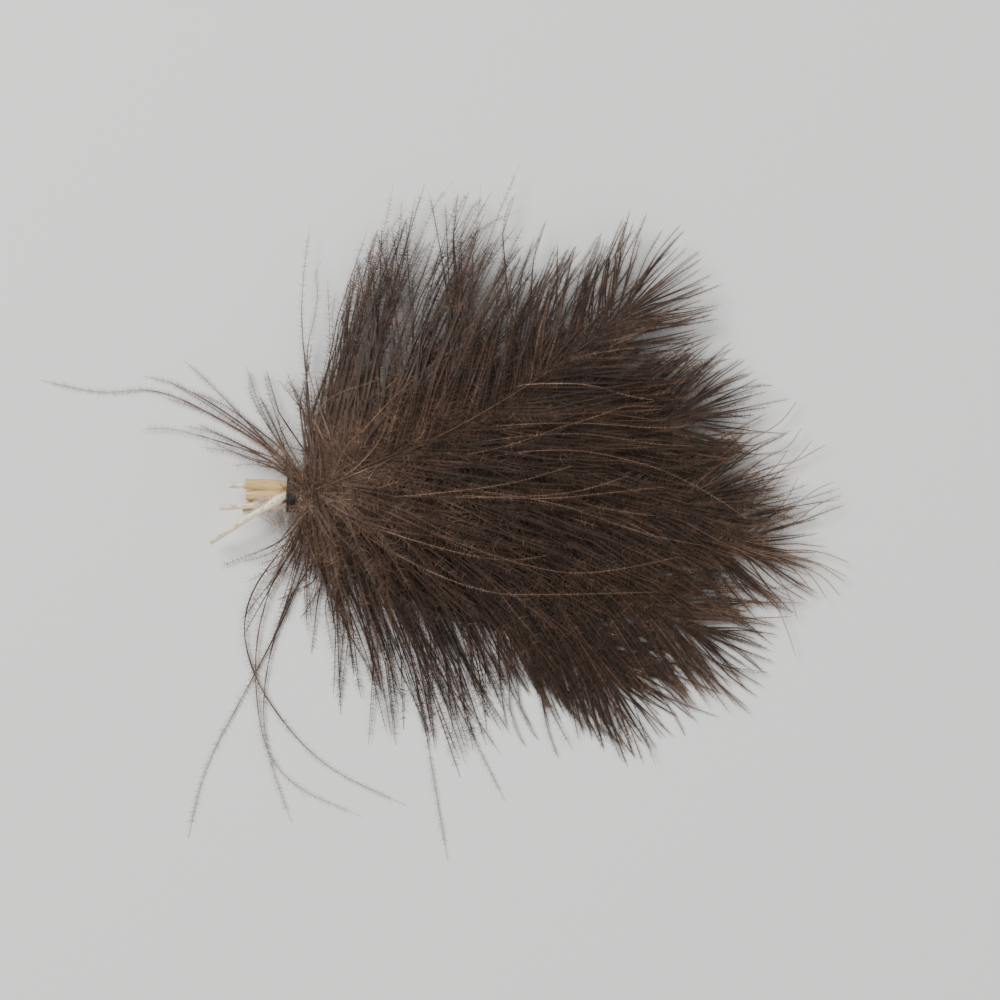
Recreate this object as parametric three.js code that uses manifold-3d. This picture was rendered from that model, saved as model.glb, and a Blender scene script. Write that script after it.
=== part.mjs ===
// A bunch of seven cul de canard feathers, tied round their quills with dark thread and lying flat.
// Each feather is one solid: a quill with an open cut end, its tapering shaft, and the locks of its vane.
// Lengths are in millimetres. The drawing frame has the tie at x = 0, y = 0 with the quills towards -X,
// the vanes towards +X, and the surface that the bunch lies on at z = 0.

import * as THREE from 'three';
import { mergeVertices } from 'three/addons/utils/BufferGeometryUtils.js';
import Module from 'manifold-3d';

const wasm = await Module();
wasm.setup();

// Colours of the two finishes.
const DOWN_COLOUR = 0x5a4336;
const THREAD_COLOUR = 0x17130f;

// The tie: where its middle lies above the surface, and the band of thread round the quills.
const TIE_HEIGHT = 3.6;
const BAND_WIDTH = 1.2;
const BAND_INNER = { y: 1.52, z: 1.2 };
const STRAIGHT_HALF = 0.75;
const THREAD_THICK = 0.2;
const THREAD_TURNS = 4;
const BAND_SIDES = 12;

// The quills and shafts.
const SHAFT_RADIUS_AT_TIE = 0.27;
const SHAFT_RADIUS_AT_TIP = 0.07;
const SHAFT_TAPER = 1.8;
const SHAFT_SIDES = 6;
const QUILL_RINGS = 3;
const QUILL_TAPER = 0.9;
const SHAFT_RINGS = 8;
const RINGS_TOWARDS_TIE = 1.4;
const QUILL_POINTS = 4;
const QUILL_DROP = 2.5;
const SHAFT_POINTS = 40;
const BORE_SHARE = 0.55;
const BORE_DEPTH = 1.1;
const MERGE_DISTANCE = 1e-5;
const SHORTEST_EDGE = 2e-3;

// The heap: each feather is a layer of this thickness, thick near the tie and thin at the rim.
const LAYER_AT_RIM = 0.46;
const LAYER_SWELL = 0.72;
const SWELL_REACH = 22;
const SPREAD_START = 0.6;
const SPREAD_END = 9;
const SECTOR_SOFT = 14;
const LOCK_SHARE = 0.31;
const TOP_LOFT = 3.2;
const THINNEST_AT_TIE = 0.3;
const ROOT_DEPTH = 1.5;
const STRAY_ROOT_DEPTH = 0.5;
const ROOT_FADE = 20;
const PRESSED_FLAT = 0.16;

// The locks: how wide one is, where its width changes along it, and where on the shaft it may grow.
const LOCK_HALF_WIDTH = 1.6;
const LOCK_SIDES = 4;
const LOCK_STEPS = 20;
const LOCK_OUTLINE = [[0, 0], [0.2, 0.01], [0.95, 0.38], [0.8, 0.76], [0, 1]];
const BASE_LOCK_OUTLINE = [[0, 0], [0.16, 0.01], [0.55, 0.16], [1, 0.45], [0.75, 0.78], [0, 1]];
const TIP_OUTLINE = [[0, 0], [0.2, 0.01], [1, 0.45], [0, 1]];
const STRAY_HALF_WIDTH = 0.2;
const STRAY_OUTLINE = [[0, 0], [0.9, 0.03], [1.2, 0.14], [1.2, 0.3], [1, 0.53], [0.8, 0.78], [0, 1]];
const BASE_SHARE = 0.16;
const NEAR_FADE = 0.13;
const CLEAR_OF_TIE = 3.6;
const CLEAR_OF_BAND = 1.7;
const LAST_LOCK = 0.97;
const TOWARDS_BASE = 1.5;
const LENGTH_FALL = 1.4;
const SWELL_END = 0.5;
const SWELL_TOWARDS_BASE = 0.6;
const ANGLE_SCATTER = 4;
const LENGTH_SCATTER = 0.07;
const TIP_LOCKS = [[0.95, -14], [0.97, 15]];
const TIP_LOCK_WIDTH = 0.7;
const SEEDS_PER_FEATHER = 11;
const LEFT_SEED = 1;
const RIGHT_SEED = 6;
const LENGTH_SEED = 50;

// The surface below the bunch, as a block that flattens the underside of the lowest feather.
const GROUND_SIDE = 200;
const GROUND_DEPTH = 10;

// The seven feathers, from the lowest in the heap to the highest.
//   quill    plan place and height of the quill's cut end, and its radius there
//   slot     y and z of the shaft where it passes through the tie, from the tie's middle
//   tip      plan place of the shaft's tip, and bow, how far its middle stands off the straight line
//   sector   the directions seen from the tie, in degrees, that the feather's locks cover
//   left, right   the locks of each side: how many, the angles they leave, lean and end at near the tie
//                 and far from it, and their lengths at the tie and at the tip
//   strays   single locks that stand out of the heap: the share of the shaft that they leave from, and
//            the plan points that they run through
const FEATHERS = [
  {
    name: 'feather_lower',
    quill: { at: [-5.05, -1.62, 2.9], radius: 0.34 },
    slot: [-0.85, -0.55],
    tip: [31.5, -18.0],
    bow: 2.2,
    sector: [-190, 34],
    left: { count: 5, near: [44, 36, 24], far: [26, 32, 30], length: [22, 9] },
    right: { count: 9, near: [66, 64, 56], far: [30, 42, 40], length: [13, 10], swell: 10 },
    strays: [
      [0.03, [-1.2, -5.4], [-4.6, -9.8], [-5.3, -14.6], [-3.1, -20.5], [2.7, -27.4], [11.2, -31.2]],
      [0.05, [0.4, -9.5], [-4.6, -19.2], [-9.2, -27.5], [-10.7, -34.5]],
      [0.09, [9.4, -11.5], [12.7, -20.5], [14.0, -28.5], [15.4, -36.7]],
      [0.18, [13.4, -15.2], [17.8, -24.0], [21.2, -30.8]],
    ],
  },
  {
    name: 'feather_lower_middle',
    quill: { at: [-4.65, -0.72, 2.75], radius: 0.42 },
    slot: [0, -0.55],
    tip: [40.0, -13.4],
    bow: 1.4,
    sector: [-88, 36],
    left: { count: 5, near: [44, 38, 24], far: [26, 32, 28], length: [22, 8.5] },
    right: { count: 6, near: [58, 60, 54], far: [27, 40, 40], length: [22, 9.5] },
    strays: [],
  },
  {
    name: 'feather_long',
    quill: { at: [-6.45, 1.0, 2.5], radius: 0.3 },
    slot: [0.85, -0.55],
    tip: [45.5, -5.2],
    bow: 1.8,
    sector: [-72, 44],
    left: { count: 6, near: [42, 38, 26], far: [24, 36, 48], length: [21, 9.5] },
    right: { count: 6, near: [52, 50, 44], far: [26, 40, 48], length: [20, 9.5] },
    strays: [],
  },
  {
    name: 'feather_middle',
    quill: { at: [-7.35, -1.25, 3.9], radius: 0.3 },
    slot: [-0.85, 0.1],
    tip: [41.5, -0.6],
    bow: -1.6,
    sector: [-60, 56],
    left: { count: 5, near: [46, 42, 30], far: [26, 38, 40], length: [20, 8.5] },
    right: { count: 5, near: [46, 42, 30], far: [26, 36, 36], length: [19, 8.5] },
    strays: [],
  },
  {
    name: 'feather_upper_middle',
    quill: { at: [-4.7, 0.0, 3.5], radius: 0.5 },
    slot: [0, 0.1],
    tip: [39.5, 8.2],
    bow: -1.5,
    sector: [-48, 84],
    left: { count: 5, near: [58, 60, 50], far: [26, 38, 38], length: [21, 8.5] },
    right: { count: 5, near: [42, 38, 26], far: [26, 34, 30], length: [20, 8] },
    strays: [],
  },
  {
    name: 'feather_short',
    quill: { at: [-4.85, 1.12, 3.85], radius: 0.54 },
    slot: [0.85, 0.1],
    tip: [31.0, 8.6],
    bow: -1.2,
    sector: [-44, 92],
    left: { count: 5, near: [62, 66, 56], far: [28, 38, 34], length: [21, 8] },
    right: { count: 5, near: [42, 38, 24], far: [26, 32, 28], length: [18, 8] },
    strays: [],
  },
  {
    name: 'feather_upper',
    quill: { at: [-8.35, -4.7, 2.2], radius: 0.32 },
    slot: [0, 0.75],
    tip: [34.0, 18.8],
    bow: -1.8,
    sector: [-60, 190],
    left: { count: 9, near: [74, 78, 70], far: [44, 52, 50], length: [17.4, 9], swell: 8 },
    right: { count: 5, near: [46, 44, 34], far: [27, 36, 34], length: [21, 9] },
    strays: [
      [0.03, [-2.2, 4.6], [-8.6, 8.4], [-14.2, 10.9], [-19.3, 10.1], [-25.6, 11.6]],
      [0.36, [17.2, 17.5], [19.6, 26.0], [22.7, 33.2]],
      [0.05, [1.4, 11.0], [0.6, 19.0], [1.6, 27.2]],
      [0.045, [-1.9, 4.3], [-6.6, 7.8], [-12.5, 11.4]],
    ],
  },
];

// The rise from 0 to 1 between two values, level at both ends.
function ease(value, from, to) {
  return THREE.MathUtils.smoothstep(value, from, to);
}

// A number from -1 to 1 that looks random and is the same each time.
function scatter(seed) {
  const wave = Math.sin(seed * 127.1 + 311.7) * 43758.5453;
  return 2 * (wave - Math.floor(wave)) - 1;
}

// The thickness of one layer of the heap at a distance from the tie.
function layerThickness(r) {
  return LAYER_AT_RIM + LAYER_SWELL * Math.exp(-((r / SWELL_REACH) ** 2));
}

// How much of a feather lies in a direction from the tie: 1 inside its sector and 0 well outside it.
function coverage(feather, degrees) {
  const [from, to] = feather.sector;
  return ease(degrees, from - SECTOR_SOFT, from) * (1 - ease(degrees, to, to + SECTOR_SOFT));
}

// The height of a feather's middle surface: it rests on the feathers below it, and gathers into the tie.
function surfaceHeight(feather, x, y) {
  const r = Math.hypot(x, y);
  const degrees = THREE.MathUtils.radToDeg(Math.atan2(y, x));
  const order = FEATHERS.indexOf(feather);
  const below = FEATHERS.slice(0, order).reduce((sum, other) => sum + coverage(other, degrees), 0);
  const outer = layerThickness(r) * (below + 0.5) - (order === 0 ? PRESSED_FLAT : 0);
  return THREE.MathUtils.lerp(TIE_HEIGHT + feather.slot[1], outer, ease(r, SPREAD_START, SPREAD_END));
}

// How much further a lock of a feather reaches up than down: nothing lies on the highest one, so it fluffs up.
function loft(feather) {
  return feather === FEATHERS[FEATHERS.length - 1] ? TOP_LOFT : 1;
}

// Half the thickness of a lock at a distance from the tie.
function lockHalfThickness(r) {
  return LOCK_SHARE * layerThickness(r) * Math.max(THINNEST_AT_TIE, ease(r, SPREAD_START, SPREAD_END));
}

// The plan curve of a shaft right of the tie.
function shaftPlan(feather) {
  const start = new THREE.Vector3(STRAIGHT_HALF, feather.slot[0], 0);
  const end = new THREE.Vector3(feather.tip[0], feather.tip[1], 0);
  const along = end.clone().sub(start).normalize();
  const aside = new THREE.Vector3(-along.y, along.x, 0);
  const middle = start.clone().lerp(end, 0.5).addScaledVector(aside, feather.bow);
  return new THREE.CatmullRomCurve3([start, middle, end]);
}

// The whole centreline, from the cut end of the quill through the tie to the shaft's tip.
function centreline(feather) {
  const [x, y, z] = feather.quill.at;
  const plan = shaftPlan(feather);
  const tieZ = TIE_HEIGHT + feather.slot[1];
  const points = [];
  for (let i = 0; i <= QUILL_POINTS; i += 1) {
    const t = 1 - i / QUILL_POINTS;
    const px = THREE.MathUtils.lerp(-STRAIGHT_HALF, x, t);
    const py = THREE.MathUtils.lerp(feather.slot[0], y, t);
    points.push(new THREE.Vector3(px, py, THREE.MathUtils.lerp(tieZ, z, t ** QUILL_DROP)));
  }
  for (let i = 0; i <= SHAFT_POINTS; i += 1) {
    const p = plan.getPoint(i / SHAFT_POINTS);
    points.push(new THREE.Vector3(p.x, p.y, surfaceHeight(feather, p.x, p.y)));
  }
  return new THREE.CatmullRomCurve3(points, false, 'centripetal');
}

// A geometry whose corners within a distance are merged, without the faces that this leaves empty. The faces
// are listed backwards, so that a list doesn't start at the thin end of a stray lock.
function weld(geometry, distance) {
  const merged = mergeVertices(geometry, distance);
  const index = merged.index.array;
  const faces = [];
  for (let i = index.length - 3; i >= 0; i -= 3) {
    const [a, b, c] = [index[i], index[i + 1], index[i + 2]];
    if (a !== b && b !== c && c !== a) faces.push(a, b, c);
  }
  return merged.setIndex(new THREE.BufferAttribute(new Uint32Array(faces), 1));
}

// A closed solid of a geometry.
function toSolid(geometry) {
  const bare = geometry.clone();
  bare.deleteAttribute('normal');
  bare.deleteAttribute('uv');
  const merged = weld(bare, MERGE_DISTANCE);
  return new wasm.Manifold(new wasm.Mesh({
    numProp: 3,
    vertProperties: new Float32Array(merged.attributes.position.array),
    triVerts: new Uint32Array(merged.index.array),
  }));
}

// The mesh geometry of a solid, without its shortest edges.
function toGeometry(solid) {
  const mesh = solid.getMesh();
  const geometry = new THREE.BufferGeometry();
  geometry.setAttribute('position', new THREE.BufferAttribute(new Float32Array(mesh.vertProperties), 3));
  geometry.setIndex(new THREE.BufferAttribute(new Uint32Array(mesh.triVerts), 1));
  return weld(geometry, SHORTEST_EDGE);
}

// A lathe spindle standing along +Y is bent: place gives each of its corners a new position.
function bend(spindle, place) {
  const position = spindle.attributes.position;
  for (let i = 0; i < position.count; i += 1) {
    const p = place(position.getX(i), position.getY(i), position.getZ(i));
    position.setXYZ(i, p.x, p.y, p.z);
  }
  return spindle;
}

// A spindle of an outline of [radius, share of length] points.
function spindle(outline, sides) {
  return new THREE.LatheGeometry(outline.map(([radius, share]) => new THREE.Vector2(radius, share)), sides);
}

// The quill and shaft: a tapering round rod along the centreline, with a bore in its cut end.
function shaft(feather) {
  const line = centreline(feather);
  const length = line.getLength();
  const quillShare = Math.hypot(feather.quill.at[0], feather.quill.at[1]) / length;
  const outline = [[0, 0]];
  for (let i = 0; i <= QUILL_RINGS; i += 1) {
    const t = i / QUILL_RINGS;
    const radius = THREE.MathUtils.lerp(feather.quill.radius, SHAFT_RADIUS_AT_TIE, ease(t, 0, QUILL_TAPER));
    outline.push([radius, t * quillShare]);
  }
  for (let i = 1; i <= SHAFT_RINGS; i += 1) {
    const t = (i / SHAFT_RINGS) ** RINGS_TOWARDS_TIE;
    const radius = THREE.MathUtils.lerp(SHAFT_RADIUS_AT_TIP, SHAFT_RADIUS_AT_TIE, (1 - t) ** SHAFT_TAPER);
    outline.push([radius, quillShare + t * (1 - quillShare)]);
  }
  outline.push([0, 1]);
  const up = new THREE.Vector3(0, 0, 1);
  const onLine = (x, share, z) => {
    const tangent = line.getTangentAt(share);
    const aside = new THREE.Vector3().crossVectors(up, tangent).normalize();
    const above = new THREE.Vector3().crossVectors(tangent, aside);
    return line.getPointAt(share).addScaledVector(aside, -x).addScaledVector(above, z);
  };
  const rod = toSolid(bend(spindle(outline, SHAFT_SIDES), onLine));
  const boreRadius = BORE_SHARE * feather.quill.radius;
  const tangent = line.getTangentAt(0);
  const bore = new THREE.CylinderGeometry(boreRadius, boreRadius, 2 * BORE_DEPTH, SHAFT_SIDES);
  bore.applyQuaternion(new THREE.Quaternion().setFromUnitVectors(new THREE.Vector3(0, 1, 0), tangent));
  bore.translate(...feather.quill.at);
  return rod.subtract(toSolid(bore));
}

// A lock: a flat-lying spindle along a plan curve, laid on its feather's middle surface.
function lockAlong(feather, plan, halfWidth, outline, rootDepth = ROOT_DEPTH) {
  const up = loft(feather);
  const place = (x, share, z) => {
    const tangent = plan.getTangent(share);
    const p = plan.getPoint(share);
    const px = p.x + tangent.y * x * halfWidth;
    const py = p.y - tangent.x * x * halfWidth;
    const half = lockHalfThickness(Math.hypot(p.x, p.y)) + rootDepth * (1 - share) ** ROOT_FADE;
    return new THREE.Vector3(px, py, surfaceHeight(feather, px, py) + (z > 0 ? up * z : z) * half);
  };
  return toSolid(bend(spindle(outline, LOCK_SIDES), place));
}

// The plan curve of a lock: it starts on the shaft and its heading runs through three angles off it.
function lockPlan(start, heading, angles, side, length) {
  const step = length / LOCK_STEPS;
  const points = [start.clone()];
  const at = start.clone();
  for (let i = 0; i < LOCK_STEPS; i += 1) {
    const v = (i + 0.5) / LOCK_STEPS;
    const off = angles[0] * (1 - v) ** 2 + 2 * angles[1] * v * (1 - v) + angles[2] * v ** 2;
    const a = heading + side * THREE.MathUtils.degToRad(off);
    at.x += Math.cos(a) * step;
    at.y += Math.sin(a) * step;
    points.push(at.clone());
  }
  return new THREE.CatmullRomCurve3(points);
}

// The length of a lock that leaves the shaft at a share of its way to the tip.
function lockLength(side, u) {
  const [base, tip] = side.length;
  const swellShare = Math.sin(Math.PI * Math.min(1, u / SWELL_END) ** SWELL_TOWARDS_BASE);
  return base + (side.swell || 0) * swellShare - (base - tip) * u ** LENGTH_FALL;
}

// The locks of one side of a feather, +1 for the left of its shaft and -1 for the right.
function sideLocks(feather, side, sign, seed) {
  const plan = shaftPlan(feather);
  const length = plan.getLength();
  const first = (side.swell ? CLEAR_OF_BAND : CLEAR_OF_TIE) / length;
  const locks = [];
  for (let i = 0; i < side.count; i += 1) {
    const share = (i + 0.5) / side.count;
    const u = first + (LAST_LOCK - first) * (side.swell ? share ** TOWARDS_BASE : share);
    const start = plan.getPointAt(u);
    const tangent = plan.getTangentAt(u);
    const near = Math.exp(-u / NEAR_FADE);
    const turn = ANGLE_SCATTER * scatter(seed + i);
    const angles = side.far.map((far, n) => THREE.MathUtils.lerp(far, side.near[n], near) + turn);
    const reach = lockLength(side, u) * (1 + LENGTH_SCATTER * scatter(seed + i + LENGTH_SEED));
    const curve = lockPlan(start, Math.atan2(tangent.y, tangent.x), angles, sign, reach);
    const base = u < BASE_SHARE;
    locks.push(lockAlong(feather, curve, LOCK_HALF_WIDTH, base ? BASE_LOCK_OUTLINE : LOCK_OUTLINE));
  }
  return locks;
}

// The short locks that close a vane past the shaft's tip, each from its share of the shaft and at its angle.
function tipLocks(feather) {
  const plan = shaftPlan(feather);
  const reach = Math.min(feather.left.length[1], feather.right.length[1]);
  return TIP_LOCKS.map(([from, degrees]) => {
    const tangent = plan.getTangentAt(from);
    const heading = Math.atan2(tangent.y, tangent.x) + THREE.MathUtils.degToRad(degrees);
    const curve = lockPlan(plan.getPointAt(from), heading, [0, 0, 0], 1, reach);
    return lockAlong(feather, curve, TIP_LOCK_WIDTH * LOCK_HALF_WIDTH, TIP_OUTLINE);
  });
}

// The single locks that stand out of the heap.
function strayLocks(feather) {
  const shaftLine = shaftPlan(feather);
  return feather.strays.map(([from, ...route]) => {
    const points = [shaftLine.getPointAt(from), ...route.map(([x, y]) => new THREE.Vector3(x, y, 0))];
    const plan = new THREE.CatmullRomCurve3(points);
    return lockAlong(feather, plan, STRAY_HALF_WIDTH, STRAY_OUTLINE, STRAY_ROOT_DEPTH);
  });
}

// One feather, as one solid.
function makeFeather(feather, number) {
  const seed = SEEDS_PER_FEATHER * number;
  const pieces = [
    shaft(feather),
    ...sideLocks(feather, feather.left, 1, seed + LEFT_SEED),
    ...sideLocks(feather, feather.right, -1, seed + RIGHT_SEED),
    ...tipLocks(feather),
    ...strayLocks(feather),
  ];
  let solid = pieces.reduce((whole, piece) => whole.add(piece));
  if (number === 0) {
    const ground = new THREE.BoxGeometry(GROUND_SIDE, GROUND_SIDE, GROUND_DEPTH);
    solid = solid.subtract(toSolid(ground.translate(0, 0, -GROUND_DEPTH / 2)));
  }
  const mesh = new THREE.Mesh(
    toGeometry(solid),
    new THREE.MeshStandardMaterial({ color: DOWN_COLOUR, roughness: 0.85, metalness: 0 }),
  );
  mesh.name = feather.name;
  return mesh;
}

// The tie: a band of thread turns round all the quills, ridged where the turns lie side by side.
function makeTie() {
  const pitch = BAND_WIDTH / THREAD_TURNS;
  const outline = [];
  for (let i = 0; i < THREAD_TURNS; i += 1) {
    const left = -BAND_WIDTH / 2 + i * pitch;
    outline.push([1 + 0.5 * THREAD_THICK, left], [1 + THREAD_THICK, left + 0.5 * pitch]);
  }
  outline.push([1 + 0.5 * THREAD_THICK, BAND_WIDTH / 2], [1, BAND_WIDTH / 2], [1, -BAND_WIDTH / 2]);
  outline.push(outline[0]);
  const ring = spindle(outline, BAND_SIDES);
  const band = bend(ring, (x, along, z) => {
    const turn = Math.atan2(z, x);
    const lift = Math.hypot(x, z) - 1;
    const y = (BAND_INNER.y + lift) * Math.cos(turn);
    return new THREE.Vector3(along, -y, TIE_HEIGHT + (BAND_INNER.z + lift) * Math.sin(turn));
  });
  const mesh = new THREE.Mesh(
    toGeometry(toSolid(band)),
    new THREE.MeshStandardMaterial({ color: THREAD_COLOUR, roughness: 0.6, metalness: 0 }),
  );
  mesh.name = 'tie_thread';
  return mesh;
}

// The bunch, moved so that the middle of its box stands over the origin.
const bunch = new THREE.Group();
FEATHERS.forEach((feather, number) => bunch.add(makeFeather(feather, number)));
bunch.add(makeTie());
const box = new THREE.Box3().setFromObject(bunch);
const middle = box.getCenter(new THREE.Vector3());
bunch.position.set(-middle.x, -middle.y, -box.min.z);

export default bunch;
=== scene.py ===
"""A bunch of seven cul de canard feathers, tied round their quills with dark thread and lying flat.

Lengths are worked out in millimetres in the drawing frame: the tie is at x = 0, y = 0, the quills
point towards -X, the vanes towards +X, and the bunch lies on z = 0. Meshes are written in metres.
"""

import bpy
import numpy as np
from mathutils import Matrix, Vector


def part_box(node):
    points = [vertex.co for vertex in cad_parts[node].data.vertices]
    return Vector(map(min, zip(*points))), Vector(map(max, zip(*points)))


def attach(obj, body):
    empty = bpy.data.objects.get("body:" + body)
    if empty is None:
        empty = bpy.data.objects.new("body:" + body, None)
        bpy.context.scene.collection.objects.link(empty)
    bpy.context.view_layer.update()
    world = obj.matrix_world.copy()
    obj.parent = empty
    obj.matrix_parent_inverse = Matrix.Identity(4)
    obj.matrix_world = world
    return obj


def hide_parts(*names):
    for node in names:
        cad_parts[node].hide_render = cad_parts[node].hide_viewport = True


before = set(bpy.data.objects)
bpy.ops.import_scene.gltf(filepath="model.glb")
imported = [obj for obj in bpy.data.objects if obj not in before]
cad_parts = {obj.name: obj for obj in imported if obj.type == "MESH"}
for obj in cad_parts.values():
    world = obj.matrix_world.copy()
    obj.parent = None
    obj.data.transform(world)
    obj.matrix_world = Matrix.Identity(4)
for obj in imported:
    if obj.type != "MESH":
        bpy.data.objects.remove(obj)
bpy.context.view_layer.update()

MM = 0.001
SEED = 41

# The tie's middle stands over this point of the row frame, in millimetres.
tie_low, tie_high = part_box("tie_thread")
TIE_X = (tie_low.x + tie_high.x) / 2 / MM
TIE_Y = (tie_low.y + tie_high.y) / 2 / MM
TIE_HEIGHT = (tie_low.z + tie_high.z) / 2 / MM
ORIGIN = np.array([TIE_X, TIE_Y, 0.0])

# The photograph: the size of a pixel in millimetres, its width and middle in pixels, and the tie's pixel.
PIXEL = 0.1
PHOTO_WIDTH = 1000
PHOTO_MIDDLE = (500, 500)
TIE_PIXEL = (293, 495)

# The quills and shafts: their radii, how they taper and how a quill drops from the tie to its cut end, the
# bore at that end, how much wider the quills are pressed at the tie and from where to where, with the one
# on top pressed less, and the radius past which a quill is ochre.
RADIUS_AT_TIE = 0.27
RADIUS_AT_TIP = 0.045
SHAFT_TAPER = 3.0
STRAIGHT_HALF = 0.75
QUILL_DROP = 2.5
BORE_SHARE = 0.62
BORE_DEPTH = 1.1
EDGE_ROUND = 0.96
SHAFT_SIDES = 12
QUILL_PRESSED = 0.95
TOP_QUILL_PRESSED = 0.7
PRESSING_STARTS = (-4.6, -1.0)
PRESSING_ENDS = (-0.7, 0.6)
WIDE_QUILL = 0.4

# The heap: each feather is a layer, thick near the tie and thin at the rim, and its sector ends softly.
LAYER_AT_RIM = 0.46
LAYER_SWELL = 0.72
SWELL_REACH = 22
SPREAD_START = 0.6
SPREAD_END = 9
SECTOR_SOFT = 14

# The barbs: their steps and thickness, where on the shaft they start, how their lengths and angles change
# along it, the fan past its tip, the few longer ones, and the bare end of each.
BARB_STEPS = 9
MIDDLES = (np.arange(BARB_STEPS) + 0.5) / BARB_STEPS
STRAY_STEPS = 26
BARB_SIDES = 3
BARB_RADIUS_AT_ROOT = 0.032
BARB_RADIUS_AT_TIP = 0.017
NEAR_FADE = 0.13
CLEAR_OF_TIE = 2.2
CLEAR_OF_BAND = 1.0
LAST_BARB = 0.985
SWELL_END = 0.5
SWELL_TOWARDS_BASE = 0.6
LENGTH_FALL = 1.4
TIP_BARBS = 22
TIP_FAN = 60
TIP_START = 0.24
LONGER_BARBS = 0.07
LONGER_BY = 0.25
BARE_TIP = 0.04

# How far a barb's angles stray by chance at its foot, in its middle and at its end, in degrees, how many
# cycles of slow waves run along the vane there, and how high they are.
ANGLE_STRAY = (4.0, 6.0, 16.0)
MIDDLE_WAVES = (7, 4)
END_WAVES = (9, 7)
LENGTH_WAVES = (8, 0.05)
BARB_WAVER = 6.0

# The flow of the down: the ends of the barbs turn to point away from this plan point, and lean towards +X
# above it and towards -X below it. The turn starts and is full at these distances from the point.
FLOW_CENTRE = (8.0, 0.0)
FLOW_LEAN = 0.22
FLOW_SHARE = 0.55
FLOW_START = 8
FLOW_FULL = 22

# The far rim of the heap in plan, from the top round to the bottom, and the barbs that end along it.
RIM = [
    (5.2, 20.5), (9.9, 28.6), (16.2, 30.4), (20.7, 29.4), (25.7, 26.6), (30.7, 25.2), (35.7, 22.8),
    (40.7, 19.2), (44.7, 14.2), (47.6, 9.4), (51.2, 3.0), (52.4, -4.0), (51.6, -10.5), (50.0, -15.5),
    (45.2, -20.6), (40.7, -23.4), (35.7, -25.2), (30.7, -26.4), (26.7, -26.2), (21.7, -24.6),
    (17.2, -21.6), (12.7, -18.5), (8.2, -14.5),
]
RIM_BARBS = 130
RIM_BARB_LENGTH = 12.0
RIM_RAGGED = (-4.5, 0.8)

# The rosette round the tie: where on the shafts its barbs start, how unevenly they aim, and how they curl
# and waver, in degrees.
ROSETTE_START = (0.012, 0.12)
ROSETTE_STRAY = 6
ROSETTE_CURL = 27
ROSETTE_WAVER = 9

# The short fluff over the tie, and the pale down on the lower quills, with a few wisps that hang from it.
COLLAR = {"count": 34, "x": (0.8, 2.2), "y": (-1.5, 1.5), "aims": (75, 285), "curl": 45,
          "lengths": (1.4, 3.4)}
CUFF = {"count": 80, "x": (-3.2, -0.75), "y": (-1.35, -0.1), "aims": (185, 255), "curl": 30,
        "lengths": (0.6, 1.7)}
WISPS = [
    [(-3.2, -2.2), (-2.4, -2.7), (-1.7, -3.3), (-1.2, -3.5), (-1.1, -4.1)],
    [(-2.6, -2.0), (-1.9, -2.6), (-1.7, -3.5), (-2.2, -3.9)],
    [(-1.6, -1.6), (-1.2, -2.4), (-1.5, -3.2), (-1.0, -3.8)],
    [(-1.2, -1.5), (-0.6, -2.2), (-0.7, -3.0)],
]

# The barbules: how close their pairs stand along a barb, in number per millimetre, and how long they are at
# its root and tip. A barb near the tie has long soft ones, and one near a feather's tip short stiff ones.
# They sweep towards its end. Each feather that lies over a barb takes a share of its barbules away, down to
# a least share.
PAIRS_PER_MM = 4.5
SOFT_BARBULE = (1.0, 0.55)
STIFF_BARBULE = (0.62, 0.24)
BARBULE_RADIUS = 0.026
BARBULE_SWEEP = 0.55
KEPT_IN_SIGHT = 1.1
LOST_PER_FEATHER = 0.27
KEPT_UNDER = 0.22

# How far a deep strand comes up again, as a share of its depth, the height that no down passes, and how low
# above the floor barbs, barbules and felt may lie.
COMES_UP_TO = 1.4
DOWN_TOP = 8.05
LOWEST_BARB = 0.05
LOWEST_BARBULE = 0.012
LOWEST_FELT = 0.006

# The felt of barbules that lie flat along a barb: half its width where it is widest, and its thickness.
FELT_HALF_WIDTH = 0.12
FELT_FLATNESS = 0.25
FELT_SIDES = 3
FELT_STRIDE = 3

# How much lighter a barb is than its barbules, how much darker its felt is painted as shade under the barbs,
# how unevenly light the barbules are, how much lighter a barb's end is where it stands out of the heap, and
# the share of light barbs.
BARB_LIGHTER = 0.1
FELT_PAINTED_SHADE = 0.14
BARBULE_UNEVEN = 0.15
END_LIGHTER = 0.22
LIGHT_BARBS = 0.08
LIGHT_BARB_LIGHTER = 0.2

# The tone of the down: the least, what is added at the tie and how far that reaches, what is added at the
# rim, and between which distances from the heap's middle the rim and the ends that stand out of it begin.
LEAST_TONE = 0.01
TONE_AT_TIE = 0.32
TONE_REACH = 12.5
TONE_AT_RIM = 0.09
HEAP_MIDDLE_X = 18.0
RIM_FADE = (20, 34)
STANDING_OUT = (24, 34)

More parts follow.
